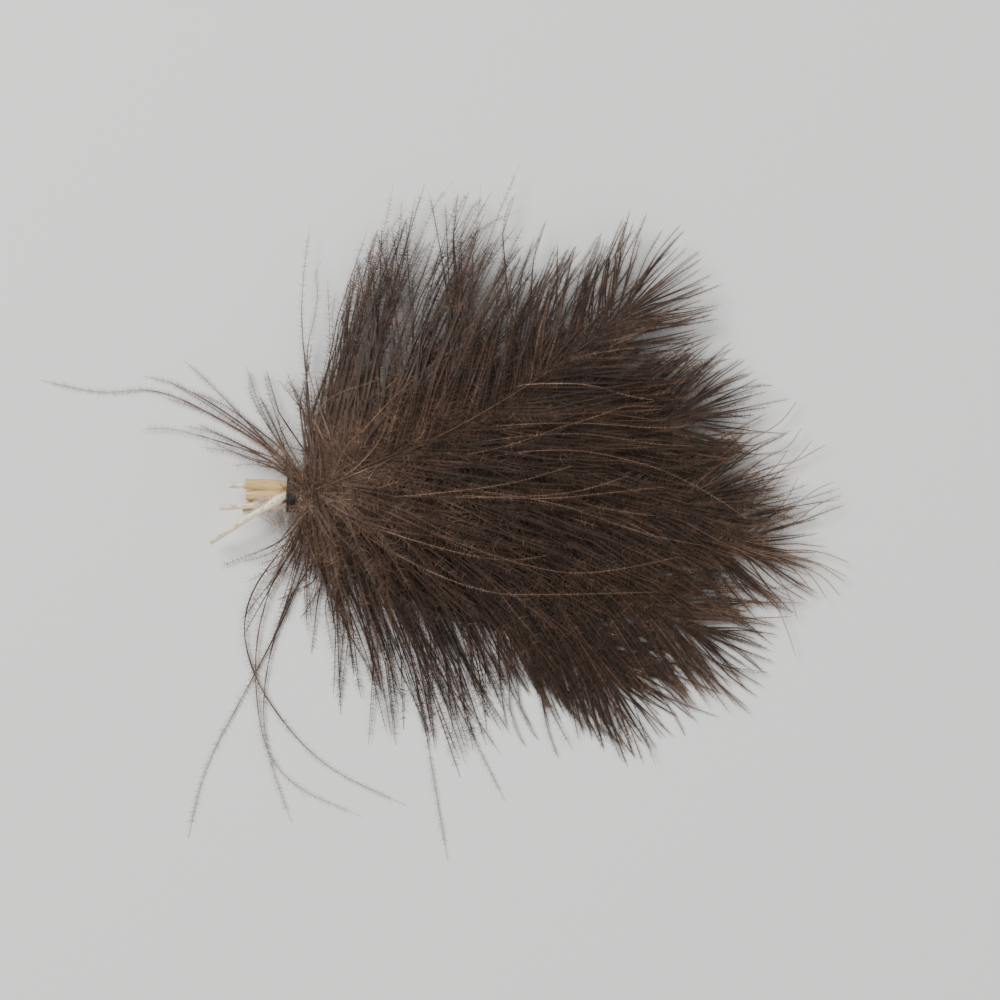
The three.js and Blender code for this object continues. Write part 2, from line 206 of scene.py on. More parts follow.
# The looks of the barbs along the rim, of the collar, the cuff and the wisps, and of each kind of single
# strand. Spread, tan and deep are left at nothing where a kind has none.
RIM_BARB_LOOKS = {"spread": 0.3, "size": 0.8, "closeness": 0.9, "lighter": 0.04, "stout": 1.1, "tan": 0.3}
COLLAR_LOOKS = {"size": 0.6, "closeness": 1.2, "lighter": 0.1, "stout": 0.8}
CUFF_LOOKS = {"size": 0.28, "closeness": 1.6, "lighter": 1.0, "stout": 0.7}
WISP_LOOKS = {"size": 0.4, "closeness": 1.8, "lighter": 0.5, "stout": 0.4}
ROUTED_LOOKS = {
    "strays": {"spread": 0.2, "size": 0.75, "closeness": 1.1, "lighter": 0.08, "stout": 1.25},
    "light_strands": {"spread": 0.1, "size": 0.4, "closeness": 0.7, "lighter": 0.34, "stout": 0.8,
                      "tan": 0.35, "deep": 1.1},
    "rim_strands": {"spread": 0.3, "size": 0.5, "closeness": 0.9, "lighter": 0.3, "stout": 2.6, "tan": 0.5},
}

# Single barbs that stand out of the heap on its -Y side: the share of the shaft that each leaves from, and
# the plan points that it runs through.
LOWER_STRAYS = [
    (0.03, [(-1.2, -5.4), (-4.6, -9.8), (-5.3, -14.6), (-3.1, -20.5), (2.7, -27.4), (11.2, -31.2)]),
    (0.05, [(0.4, -9.5), (-4.6, -19.2), (-9.2, -27.5), (-10.7, -34.5)]),
    (0.09, [(9.4, -11.5), (12.7, -20.5), (14.0, -28.5), (15.4, -36.7)]),
    (0.18, [(13.4, -15.2), (17.8, -24.0), (21.2, -30.8)]),
    (0.04, [(0.2, -8.0), (-3.0, -17.0), (-3.2, -25.0), (-0.3, -33.0)]),
    (0.03, [(-2.4, -8.4), (-4.4, -17.0), (-2.6, -28.4), (6.7, -32.3)]),
    (0.10, [(4.4, -10.0), (6.6, -15.0), (7.9, -19.5)]),
    (0.02, [(0.6, -3.0), (-1.5, -4.8), (-4.3, -6.0), (-7.6, -7.2)]),
    (0.02, [(0.7, -3.4), (-1.0, -5.2), (-3.6, -6.4), (-5.0, -6.6)]),
    (0.02, [(0.8, -3.6), (-1.2, -6.2), (-3.6, -7.0)]),
    (0.02, [(0.8, -4.0), (-1.4, -7.0), (-4.9, -8.8)]),
    (0.02, [(0.9, -4.5), (-1.0, -7.8), (-2.8, -10.5)]),
    (0.02, [(0.9, -4.8), (-0.4, -8.8), (-0.8, -12.6)]),
    (0.03, [(1.6, -5.4), (0.9, -9.6), (1.4, -14.2)]),
]

# The same on its +Y side and past the tie.
UPPER_STRAYS = [
    (0.03, [(-2.2, 4.6), (-8.6, 8.4), (-14.2, 10.9), (-19.3, 10.1), (-25.6, 11.6)]),
    (0.36, [(17.2, 17.5), (19.6, 26.0), (22.7, 33.2)]),
    (0.05, [(1.4, 11.0), (0.6, 19.0), (1.6, 27.2)]),
    (0.045, [(-1.9, 4.3), (-6.6, 7.8), (-12.5, 11.4)]),
    (0.03, [(-1.6, 4.4), (-7.0, 8.5), (-12.0, 11.3), (-15.3, 12.0)]),
    (0.02, [(-2.0, 3.6), (-8.0, 5.6), (-13.0, 6.9), (-15.6, 6.5)]),
    (0.03, [(-2.0, 4.5), (-6.5, 9.2), (-9.5, 12.2), (-11.1, 13.5)]),
    (0.04, [(-1.5, 5.0), (-3.6, 9.2), (-4.8, 13.0)]),
    (0.04, [(-0.9, 5.5), (-2.4, 9.5), (-3.1, 12.6)]),
    (0.02, [(-1.8, 3.2), (-6.0, 5.4), (-9.8, 7.2)]),
    (0.02, [(-1.6, 2.8), (-4.6, 3.6), (-8.2, 5.3)]),
    (0.02, [(-0.6, 3.0), (-3.4, 3.4), (-6.4, 4.5), (-9.4, 4.8)]),
    (0.02, [(-0.8, 3.4), (-4.0, 4.4), (-8.0, 6.4), (-11.2, 7.0)]),
    (0.03, [(-0.8, 3.8), (-4.4, 5.8), (-9.2, 8.6), (-13.4, 9.9)]),
    (0.03, [(-0.6, 4.2), (-3.6, 6.6), (-7.4, 9.4), (-10.4, 10.4)]),
    (0.03, [(-0.6, 4.2), (-3.0, 7.4), (-4.6, 10.4), (-4.4, 12.4)]),
    (0.02, [(-0.4, 2.6), (-2.6, 2.8), (-4.2, 3.2), (-6.2, 2.9)]),
    (0.06, [(8.0, 15.0), (12.9, 22.1), (16.4, 24.9), (19.5, 27.3), (22.7, 28.5)]),
    (0.04, [(1.4, 8.0), (1.3, 14.9), (2.1, 17.6), (2.5, 20.5), (2.1, 22.7), (2.8, 23.5)]),
    (0.04, [(3.4, 7.0), (3.7, 13.2), (3.6, 16.8), (3.4, 21.5)]),
    (0.05, [(3.9, 8.0), (4.0, 15.4), (3.8, 18.3), (4.3, 20.5)]),
    (0.05, [(4.4, 8.0), (4.8, 15.4), (5.0, 18.7), (5.4, 21.4)]),
    (0.06, [(4.6, 10.0), (5.6, 16.8), (6.7, 20.6), (8.5, 26.8)]),
    (0.06, [(5.8, 10.0), (7.6, 17.4), (7.5, 21.2)]),
    (0.07, [(6.2, 14.0), (7.6, 22.4), (9.1, 26.4), (10.0, 31.2)]),
    (0.07, [(6.4, 16.0), (8.5, 24.6), (10.0, 27.1), (11.4, 28.9)]),
    (0.10, [(9.4, 18.0), (12.9, 26.4), (14.4, 29.6), (16.0, 31.5)]),
    (0.16, [(14.0, 16.0), (16.6, 22.1), (16.7, 24.9), (16.3, 27.3)]),
    (0.20, [(15.6, 18.0), (18.2, 25.6), (18.6, 28.6), (18.8, 31.2)]),
]

# The same for the light strands that lie over the heap.
LIGHT_STRANDS = [
    (0.03, [(8.7, -0.1), (21.5, -0.3), (28.5, 0.2), (33.5, 1.9)]),
    (0.03, [(8.7, -0.4), (17.7, 0.5), (22.7, 1.3), (27.9, 2.9)]),
    (0.10, [(12.0, 3.2), (21.0, 4.6), (26.7, 6.8), (30.0, 7.7), (33.6, 9.1), (35.6, 8.8)]),
    (0.40, [(20.7, 10.9), (26.7, 11.2), (30.1, 11.0), (33.8, 9.8), (36.1, 9.5)]),
    (0.04, [(8.0, -5.0), (18.7, -9.9), (25.5, -10.0), (36.5, -9.7)]),
    (0.04, [(6.0, -2.6), (16.2, -5.8), (21.7, -6.7), (25.5, -6.0)]),
    (0.08, [(14.0, -4.0), (26.0, -8.0), (32.2, -7.6), (38.6, -6.2)]),
    (0.12, [(16.0, 5.0), (27.5, 6.4), (33.5, 5.5), (36.9, 5.0), (40.1, 4.9)]),
    (0.06, [(14.0, 1.0), (26.0, -0.6), (32.2, -2.9), (36.3, -4.2), (41.2, -5.1)]),
    (0.10, [(14.0, 2.6), (26.0, 5.0), (35.6, 3.2), (41.4, 0.4), (45.6, -2.5)]),
    (0.16, [(16.0, 6.6), (28.0, 7.4), (37.7, 6.5), (40.9, 7.3)]),
    (0.05, [(12.0, 0.4), (24.0, -0.6), (32.3, 0.3), (37.2, 0.8)]),
    (0.18, [(12.0, 10.5), (18.0, 16.0), (23.6, 20.0)]),
    (0.06, [(5.0, 6.0), (10.0, 11.6), (18.7, 17.5)]),
    (0.04, [(9.1, 8.9), (13.3, 12.6), (16.1, 14.6)]),
    (0.05, [(6.5, 9.0), (11.9, 15.7), (13.8, 17.4), (15.5, 18.7), (18.3, 19.9), (21.6, 22.5)]),
    (0.02, [(2.0, 8.6), (4.8, 10.4), (7.3, 11.0), (9.5, 12.0)]),
]

# The same for the stout strands at the heap's far rim.
RIM_STRANDS = [
    (0.88, [(42.0, 3.0), (45.6, 5.5), (47.3, 6.2), (49.3, 7.6), (50.5, 9.4)]),
    (0.90, [(43.7, 0.6), (45.9, 2.8), (48.0, 4.1), (49.8, 4.8), (51.0, 6.7)]),
    (0.93, [(45.5, 0.1), (47.3, 1.8), (48.7, 3.1), (49.6, 4.5)]),
    (0.92, [(44.6, 0.4), (46.3, 2.2), (48.4, 3.0), (50.4, 3.3), (51.9, 4.2), (53.4, 5.0)]),
    (0.94, [(46.6, 0.2), (48.6, 2.2), (50.4, 3.5), (51.2, 4.4), (52.1, 5.5)]),
    (0.95, [(46.8, -0.7), (47.6, 0.1), (48.7, 1.4), (49.4, 2.4)]),
    (0.96, [(47.0, -3.0), (48.7, -1.4), (49.8, -0.1), (50.7, 1.8)]),
    (0.97, [(47.2, -3.4), (49.1, -2.1), (51.1, -0.4), (52.7, 0.7), (54.3, 1.3)]),
    (0.98, [(48.0, -4.0), (50.5, -2.7), (52.1, -1.3), (53.8, -0.4), (55.0, -0.1)]),
    (1.0, [(47.3, -5.6), (49.8, -5.6), (51.5, -5.5), (53.6, -5.9), (55.8, -6.8)]),
    (0.99, [(47.1, -5.7), (49.1, -5.9), (51.5, -6.5), (53.2, -7.0), (55.5, -8.2)]),
    (0.98, [(46.8, -5.8), (50.1, -6.2), (52.9, -7.0), (55.3, -8.7)]),
    (0.97, [(46.2, -5.8), (48.9, -6.5), (50.8, -8.0), (52.1, -9.8)]),
    (0.98, [(46.9, -6.0), (50.4, -6.7), (52.2, -8.3), (53.5, -10.4)]),
    (0.97, [(46.4, -6.0), (50.9, -7.0), (53.4, -8.3), (54.8, -10.1)]),
    (0.93, [(44.4, -6.2), (46.8, -8.1), (48.2, -10.4), (49.6, -13.6), (50.4, -16.2)]),
    (0.95, [(45.4, -6.0), (48.2, -7.6), (49.8, -10.1), (50.6, -12.4)]),
]

# The seven feathers, from the lowest in the heap to the highest.
#   quill    plan place and height of the quill's cut end, and its radius there
#   slot     y and z of the shaft in the tie, from the tie's middle
#   tip      plan place of the shaft's tip, and bow, how far its middle stands off the straight line
#   sector   the directions seen from the tie, in degrees, that the feather covers
#   left, right   the barbs of each side: how many, the angles they leave, lean and end at near the tie and
#                 far from it, their lengths at the tie and at the tip, and the swell of longer ones between
#   rosette  the fluff round the tie: how many barbs, the directions that they cover, in degrees, and the
#            lengths of the shortest and the longest
#   strays, light_strands, rim_strands   the single strands that leave from its shaft
FEATHERS = [
    {
        "name": "feather_lower",
        "quill": (-5.05, -1.62, 2.9), "radius": 0.34, "slot": (-0.85, -0.55),
        "tip": (31.5, -18.0), "bow": 2.2, "sector": (-190, 34),
        "left": {"count": 118, "near": (44, 36, 24), "far": (26, 32, 30), "length": (22, 9)},
        "right": {"count": 160, "near": (66, 64, 56), "far": (30, 42, 40), "length": (13, 10), "swell": 10},
        "rosette": {"count": 90, "from": -118, "to": -8, "length": (5, 15)},
        "strays": LOWER_STRAYS,
    },
    {
        "name": "feather_lower_middle",
        "quill": (-4.65, -0.72, 2.75), "radius": 0.42, "slot": (0.0, -0.55),
        "tip": (40.0, -13.4), "bow": 1.4, "sector": (-88, 36),
        "left": {"count": 118, "near": (44, 38, 24), "far": (26, 32, 28), "length": (22, 8.5)},
        "right": {"count": 124, "near": (58, 60, 54), "far": (27, 40, 40), "length": (22, 9.5)},
        "rosette": {"count": 50, "from": -84, "to": 20, "length": (6, 17)},
    },
    {
        "name": "feather_long",
        "quill": (-6.45, 1.0, 2.5), "radius": 0.30, "slot": (0.85, -0.55),
        "tip": (45.5, -5.2), "bow": 1.8, "sector": (-72, 44),
        "left": {"count": 120, "near": (42, 38, 26), "far": (24, 36, 48), "length": (21, 8.6)},
        "right": {"count": 120, "near": (52, 50, 44), "far": (26, 40, 48), "length": (20, 8.6)},
        "rosette": {"count": 40, "from": -60, "to": 40, "length": (6, 18)},
        "rim_strands": RIM_STRANDS,
    },
    {
        "name": "feather_middle",
        "quill": (-7.35, -1.25, 3.9), "radius": 0.30, "slot": (-0.85, 0.1),
        "tip": (41.5, -0.6), "bow": -1.6, "sector": (-60, 56),
        "left": {"count": 118, "near": (46, 42, 30), "far": (26, 38, 40), "length": (20, 8.5)},
        "right": {"count": 118, "near": (46, 42, 30), "far": (26, 36, 36), "length": (19, 8.5)},
        "rosette": {"count": 50, "from": -60, "to": 50, "length": (6, 18)},
    },
    {
        "name": "feather_upper_middle",
        "quill": (-4.7, 0.0, 3.5), "radius": 0.50, "slot": (0.0, 0.1),
        "tip": (39.5, 8.2), "bow": -1.5, "sector": (-48, 84),
        "left": {"count": 120, "near": (58, 60, 50), "far": (26, 38, 38), "length": (21, 8.5)},
        "right": {"count": 114, "near": (42, 38, 26), "far": (26, 34, 30), "length": (20, 8)},
        "rosette": {"count": 60, "from": -40, "to": 88, "length": (6, 16)},
    },
    {
        "name": "feather_short",
        "quill": (-4.85, 1.12, 3.85), "radius": 0.54, "slot": (0.85, 0.1),
        "tip": (31.0, 8.6), "bow": -1.2, "sector": (-44, 92),
        "left": {"count": 114, "near": (62, 66, 56), "far": (28, 38, 34), "length": (21, 8)},
        "right": {"count": 108, "near": (42, 38, 24), "far": (26, 32, 28), "length": (18, 8)},
        "rosette": {"count": 60, "from": -30, "to": 100, "length": (6, 15)},
    },
    {
        "name": "feather_upper",
        "quill": (-8.35, -4.7, 2.2), "radius": 0.32, "slot": (0.0, 0.75),
        "tip": (34.0, 18.8), "bow": -1.8, "sector": (-60, 190),
        "left": {"count": 172, "near": (71, 68, 46), "far": (44, 50, 46), "length": (17.4, 9), "swell": 8},
        "right": {"count": 120, "near": (46, 44, 34), "far": (27, 36, 34), "length": (21, 9)},
        "rosette": {"count": 130, "from": -75, "to": 126, "length": (5, 15)},
        "strays": UPPER_STRAYS,
        "light_strands": LIGHT_STRANDS,
    },
]


def smooth(value, start, end):
    """The rise from 0 to 1 between start and end, level at both: 3 t^2 - 2 t^3."""
    t = np.clip((value - start) / (end - start), 0.0, 1.0)
    return t * t * (3.0 - 2.0 * t)


def layer_thickness(r):
    """The thickness of one layer of the heap at a distance from the tie: a bell over a level rim."""
    return LAYER_AT_RIM + LAYER_SWELL * np.exp(-((r / SWELL_REACH) ** 2))


def surface_height(order, x, y):
    """The height of a feather's middle surface: the layers below it, gathered into its slot in the tie."""
    r = np.hypot(x, y)
    degrees = np.degrees(np.arctan2(y, x))
    below = np.zeros_like(r)
    for other in FEATHERS[:order]:
        start, end = other["sector"]
        below += smooth(degrees, start - SECTOR_SOFT, start) * (1 - smooth(degrees, end, end + SECTOR_SOFT))
    outer = layer_thickness(r) * (below + 0.5)
    gathered = TIE_HEIGHT + FEATHERS[order]["slot"][1]
    return gathered + (outer - gathered) * smooth(r, SPREAD_START, SPREAD_END)


def shaft_plan(feather, t):
    """Plan points of a shaft right of the tie: a straight line with a parabola's bow across it."""
    start = np.array([STRAIGHT_HALF, feather["slot"][0]])
    end = np.array(feather["tip"], float)
    along = end - start
    aside = np.array([-along[1], along[0]]) / np.hypot(*along)
    t = np.asarray(t, float)[..., None]
    return start + t * along + aside * feather["bow"] * 4.0 * t * (1.0 - t)


def shaft_heading(feather, t):
    """The direction of a shaft in plan, in radians, from the slope of the line above."""
    step = 1e-4
    slope = shaft_plan(feather, np.asarray(t) + step) - shaft_plan(feather, np.asarray(t) - step)
    return np.arctan2(slope[..., 1], slope[..., 0])


def path_frames(paths):
    """For rows of points: unit tangents by differences, and two unit normals, one level and one above."""
    tangent = np.gradient(paths, axis=-2)
    tangent /= np.linalg.norm(tangent, axis=-1, keepdims=True) + 1e-12
    side = np.stack([-tangent[..., 1], tangent[..., 0], np.zeros_like(tangent[..., 0])], axis=-1)
    side /= np.linalg.norm(side, axis=-1, keepdims=True) + 1e-12
    return tangent, side, np.cross(tangent, side)


def tubes(centres, radii, sides, frames=None, flatten=1.0):
    """Closed tubes along rows of centres: ring k of a tube is centre + radius (cos a side + sin a above),
    neighbouring rings are joined by quads, and each end is closed by one face."""
    count, rings, _ = centres.shape
    _, side, above = frames if frames is not None else path_frames(centres)
    angle = np.arange(sides) * 2.0 * np.pi / sides
    around = (np.cos(angle)[:, None] * side[..., None, :]
              + flatten * np.sin(angle)[:, None] * above[..., None, :])
    points = centres[..., None, :] + radii[..., None, None] * around
    start = (np.arange(count) * rings * sides)[:, None, None]
    ring = (np.arange(rings - 1) * sides)[None, :, None]
    here = np.arange(sides)[None, None, :]
    after = (here + 1) % sides
    walls = np.stack([start + ring + here, start + ring + after,
                      start + ring + sides + after, start + ring + sides + here], axis=-1).reshape(-1, 4)
    first = np.arange(count)[:, None] * rings * sides
    near_caps = first + np.arange(sides)[::-1]
    far_caps = first + (rings - 1) * sides + np.arange(sides)
    return points.reshape(-1, 3), [walls, np.concatenate([near_caps, far_caps])]


def forks(left, right, middle, along, up, radius):
    """Closed forks, each a pair of barbules: a three-cornered root on the barb, with corners to the back,
    to the front and above, and from it one long three-faced point to the left and one to the right."""
    back = middle - radius * along
    front = middle + radius * along
    top = middle + 1.2 * radius * up
    points = np.stack([back, front, top, left, right], axis=1).reshape(-1, 3)
    start = 5 * np.arange(len(middle))[:, None]
    corners = ((0, 4, 2), (1, 2, 4), (0, 1, 4), (0, 2, 3), (1, 3, 2), (1, 0, 3))
    faces = np.concatenate([start + np.array(f) for f in corners])
    return points, faces


def bowed(first, middle, last, v):
    """The quadratic curve from first to last that middle pulls aside, at the shares v."""
    return first * (1 - v) ** 2 + 2 * middle * v * (1 - v) + last * v ** 2


def walked_along(line):
    """How far each point of a line lies from its start, along it."""
    return np.concatenate([[0], np.cumsum(np.linalg.norm(np.diff(line, axis=0), axis=1))])


def points_at(line, walked, at):
    """The points of a line at some distances along it."""
    return np.stack([np.interp(at, walked, column) for column in line.T], axis=1)


def unit(rows):
    """Rows scaled to a length of one."""
    return rows / np.linalg.norm(rows, axis=-1, keepdims=True)


def make_mesh(name, points, face_sets, material, smooth_faces, values):
    """A mesh from points in the drawing frame, arrays of faces, and a value of each name for each point."""
    mesh = bpy.data.meshes.new(name)
    placed = (points + ORIGIN) * MM
    mesh.vertices.add(len(placed))
    mesh.vertices.foreach_set("co", placed.astype(np.float32).ravel())
    corners = np.concatenate([f.ravel() for f in face_sets]).astype(np.int32)
    totals = np.concatenate([np.full(len(f), f.shape[1]) for f in face_sets])
    starts = np.concatenate([[0], np.cumsum(totals)[:-1]]).astype(np.int32)
    mesh.loops.add(len(corners))
    mesh.loops.foreach_set("vertex_index", corners)
    mesh.polygons.add(len(totals))
    mesh.polygons.foreach_set("loop_start", starts)
    mesh.materials.append(material)
    mesh.polygons.foreach_set("use_smooth", np.full(len(totals), smooth_faces))
    for key, value in values.items():
        attribute = mesh.attributes.new(key, "FLOAT", "POINT")
        attribute.data.foreach_set("value", value.astype(np.float32))
    mesh.update()
    mesh.validate()
    piece = bpy.data.objects.new(name, mesh)
    bpy.context.scene.collection.objects.link(piece)
    return piece


class Finish:
    """A material, with short ways to add the nodes of its pattern. What goes into a node is a number, a
    colour or another node's output, and each way but add gives back the new node's output."""

    def __init__(self, name, looks):
        self.material = bpy.data.materials.new(name)
        self.material.use_nodes = True
        self.tree = self.material.node_tree
        self.surface(looks)

    def surface(self, looks):
        """Gives the material's shader its values and links."""
        self.feed(self.tree.nodes["Principled BSDF"], looks)

    def feed(self, node, inputs):
        """Sets each input of a node, or links it when it gets another node's output."""
        for key, value in inputs.items():
            if isinstance(value, bpy.types.NodeSocket):
                self.tree.links.new(value, node.inputs[key])
            else:
                node.inputs[key].default_value = value

    def add(self, kind, inputs, **settings):
        """A new node of a kind, with its settings and inputs."""
        node = self.tree.nodes.new(kind)
        for key, value in settings.items():
            setattr(node, key, value)
        self.feed(node, inputs)
        return node

    def read(self, name):
        """A value that the mesh has for each point."""
        return self.add("ShaderNodeAttribute", {}, attribute_name=name).outputs["Fac"]

    def maths(self, operation, *values, **settings):
        """One operation on one to three values."""
        inputs = dict(enumerate(values))
        return self.add("ShaderNodeMath", inputs, operation=operation, **settings).outputs[0]

    def noise(self, place, dimensions, scale):
        """Cloudy noise at a place."""
        inputs = {"Vector": place, "Scale": scale, "Detail": 3.0}
        return self.add("ShaderNodeTexNoise", inputs, noise_dimensions=dimensions).outputs["Fac"]

    def fade(self, value, start, end, top=1.0):
        """The straight rise from 0 to top while a value goes from start to end."""
        inputs = {"Value": value, "From Min": start, "From Max": end, "To Max": top}
        return self.add("ShaderNodeMapRange", inputs).outputs["Result"]

    def mix(self, factor, first, second):
        """The first colour where the factor is 0, and the second where it is 1."""
        inputs = {"Factor": factor, "A": first, "B": second}
        return self.add("ShaderNodeMix", inputs, data_type="RGBA").outputs["Result"]


def srgb(red, green, blue):
    """A colour given in 0 to 255, as linear light with alpha."""
    c = np.array([red, green, blue]) / 255.0
    linear = np.where(c <= 0.04045, c / 12.92, ((c + 0.055) / 1.055) ** 2.4)
    return (*linear, 1.0)


def down_material():
    """Brown-grey down: dark to light by each point's tone, with a faint mottle, and tan by its warmth."""
    down = Finish("down", {"Roughness": 0.62, "Sheen Weight": 0.25, "Sheen Roughness": 0.5,
                           "Sheen Tint": srgb(196, 170, 148), "Specular IOR Level": 0.3})
    place = down.add("ShaderNodeTexCoord", {}).outputs["Object"]
    mottle = down.noise(place, "3D", 420.0)
    mottled = down.maths("MULTIPLY_ADD", mottle, 0.5, down.read("tone"))
    ramp = down.add("ShaderNodeValToRGB", {"Fac": down.maths("MULTIPLY", mottled, 0.5)})
    darkest, lightest = ramp.color_ramp.elements
    darkest.position = 0.06
    darkest.color = srgb(34, 24, 18)
    lightest.position = 0.82
    lightest.color = srgb(232, 214, 198)
    for position, colour in ((0.26, srgb(80, 59, 47)), (0.5, srgb(154, 126, 105))):
        stop = ramp.color_ramp.elements.new(position)
        stop.color = colour
    tan = down.mix(down.read("warm"), ramp.outputs["Color"], srgb(150, 112, 80))
    down.surface({"Base Color": tan})
    return down.material


def quill_material():
    """Cream horn with faint streaks along it, broken dark pith along the upper middle line of a narrow
    quill, and a browner shaft towards the vane."""
    quill = Finish("quill_horn", {"Roughness": 0.34, "Subsurface Weight": 0.35,
                                  "Subsurface Radius": (1.0, 0.7, 0.4), "Subsurface Scale": 0.0005})
    along = quill.read("along")
    around = quill.read("around")
    ochre = quill.read("ochre")
    place = quill.add("ShaderNodeCombineXYZ", {"X": along, "Y": around}).outputs[0]
    dashes = quill.fade(quill.noise(place, "2D", 1.9), 0.42, 0.58, 0.9)
    middle_line = quill.fade(around, 0.91, 0.98)
    narrow = quill.maths("SUBTRACT", 1.0, ochre, use_clamp=True)
    pith = quill.maths("MULTIPLY", dashes, quill.maths("MULTIPLY", middle_line, narrow))
    stretch = {"Vector": place, "Scale": (0.35, 3.2, 1.0)}
    stretched = quill.add("ShaderNodeMapping", stretch).outputs["Vector"]
    streaks = quill.fade(quill.noise(stretched, "2D", 2.0), 0.42, 0.72, 0.55)
    grain = quill.maths("MAXIMUM", pith, streaks)
    horn = quill.mix(ochre, srgb(240, 230, 208), srgb(208, 176, 120))
    marked = quill.mix(grain, horn, srgb(132, 113, 86))
    browned = quill.mix(quill.fade(along, -1.0, 3.0), marked, srgb(84, 63, 49))
    quill.surface({"Base Color": browned})
    return quill.material


def thread_material():
    """Dark waxed thread: near black, with fine twisted plies from stripes that run askew along it."""
    thread = Finish("waxed_thread", {"Roughness": 0.6})
    askew = thread.maths("MULTIPLY_ADD", thread.read("along"), 14.0, thread.read("around"))
    plies = thread.fade(thread.maths("SINE", askew), -1.0, 1.0)
    height = {"Height": plies, "Distance": 0.00002, "Strength": 0.6}
    bumped = thread.add("ShaderNodeBump", height).outputs["Normal"]
    thread.surface({"Base Color": thread.mix(plies, srgb(13, 11, 10), srgb(40, 33, 28)), "Normal": bumped})
    return thread.material


def wander(rng, t, cycles, size):
    """Smooth noise along t: four sines with random phases, whose cycles rise in steps."""
    total = np.zeros_like(t)
    for k, share in enumerate((0.45, 0.28, 0.17, 0.10)):
        total += share * np.sin(2 * np.pi * (cycles * (1 + 0.83 * k) * t + rng.random()))
    return size * total * 1.8


def waver(rng, count, size):
    """One wave along each barb, of a random height and phase: height sin(2 pi (v + phase))."""
    return rng.normal(0, size, (count, 1)) * np.sin(2 * np.pi * (MIDDLES + rng.random((count, 1))))


def barb_paths(order, side, sign, rng):
    """The barbs of one side: each starts on the shaft, and its heading runs through three angles off it."""
    feather = FEATHERS[order]
    count = side["count"]
    shaft_length = np.hypot(*(np.array(feather["tip"]) - (STRAIGHT_HALF, feather["slot"][0])))
    first = (CLEAR_OF_BAND if "swell" in side else CLEAR_OF_TIE) / shaft_length
    crowding = 1.3 if "swell" in side else 1.12
    share = (np.arange(count) + 0.5 + 0.3 * rng.uniform(-1, 1, count)) / count
    u = first + (LAST_BARB - first) * share ** crowding
    near = np.exp(-u / NEAR_FADE)[:, None]
    angles = np.array(side["far"]) * (1 - near) + np.array(side["near"]) * near
    angles = angles * np.clip((1 - u) / 0.07, 0.5, 1.0)[:, None]
    angles[:, 0] += rng.normal(0, ANGLE_STRAY[0], count)
    angles[:, 1] += wander(rng, u, *MIDDLE_WAVES) + rng.normal(0, ANGLE_STRAY[1], count)
    angles[:, 2] += wander(rng, u, *END_WAVES) + rng.normal(0, ANGLE_STRAY[2], count)
    off = bowed(angles[:, :1], angles[:, 1:2], angles[:, 2:], MIDDLES)
    off += waver(rng, count, BARB_WAVER)
    base, tip = side["length"]
    swell = side.get("swell", 0) * np.sin(np.pi * np.minimum(1, u / SWELL_END) ** SWELL_TOWARDS_BASE)
    length = base + swell - (base - tip) * u ** LENGTH_FALL
    length = length * (1.0 + 0.15 * rng.uniform(-1, 1, count) + wander(rng, u, *LENGTH_WAVES))
    longer = LONGER_BY * (0.4 if "swell" in side else 1.0)
    length = length * (1.0 + longer * (rng.random(count) < LONGER_BARBS))
    heading = shaft_heading(feather, u)[:, None] + sign * np.radians(off)
    return flow(shaft_plan(feather, u), heading, length)


def away_from_centre(places):
    """The way that the down flows at plan places: from the centre to (x + lean y, y), as unit rows."""
    away = places - np.array(FLOW_CENTRE)
    return unit(np.stack([away[:, 0] + FLOW_LEAN * away[:, 1], away[:, 1]], axis=1))


def flow(starts, heading, length):
    """Walks paths twice: the second time the outer part of each turns towards the way from the flow's
    centre to where the first one ended."""
    ends = walk(starts, heading, length)[:, -1]
    away = np.arctan2(*away_from_centre(ends).T[::-1])[:, None]
    distance = np.linalg.norm(ends - np.array(FLOW_CENTRE), axis=1)
    strength = FLOW_SHARE * smooth(distance, FLOW_START, FLOW_FULL)[:, None]
    return walk(starts, heading + strength * smooth(MIDDLES, 0.3, 1.0) * (away - heading), length)


def walk(starts, heading, length):
    """Plan paths from their starts: each takes equal steps along its row of headings, to its length."""
    steps = heading.shape[1]
    step = (length / steps)[:, None]
    plan = np.zeros((len(starts), steps + 1, 2))
    plan[:, 0] = starts
    plan[:, 1:, 0] = plan[:, :1, 0] + np.cumsum(step * np.cos(heading), axis=1)
    plan[:, 1:, 1] = plan[:, :1, 1] + np.cumsum(step * np.sin(heading), axis=1)
    return plan


def rosette_paths(order, rng):
    """The fluff round the tie: short barbs in the directions of the feather's rosette, each a slow curl."""
    feather = FEATHERS[order]
    fluff = feather["rosette"]
    count = fluff["count"]
    nearest, reach = ROSETTE_START
    u = nearest + reach * rng.random(count) ** 1.6
    share = (np.arange(count) + rng.random(count)) / count
    aim = fluff["from"] + (fluff["to"] - fluff["from"]) * share + rng.normal(0, ROSETTE_STRAY, count)
    curl = np.radians(rng.normal(0, ROSETTE_CURL, (count, 1))) * (MIDDLES - 0.3)
    curl = curl + waver(rng, count, np.radians(ROSETTE_WAVER))
    short, long = fluff["length"]
    length = short + (long - short) * rng.random(count) ** 1.3
    return walk(shaft_plan(feather, u), np.radians(aim)[:, None] + curl, length)


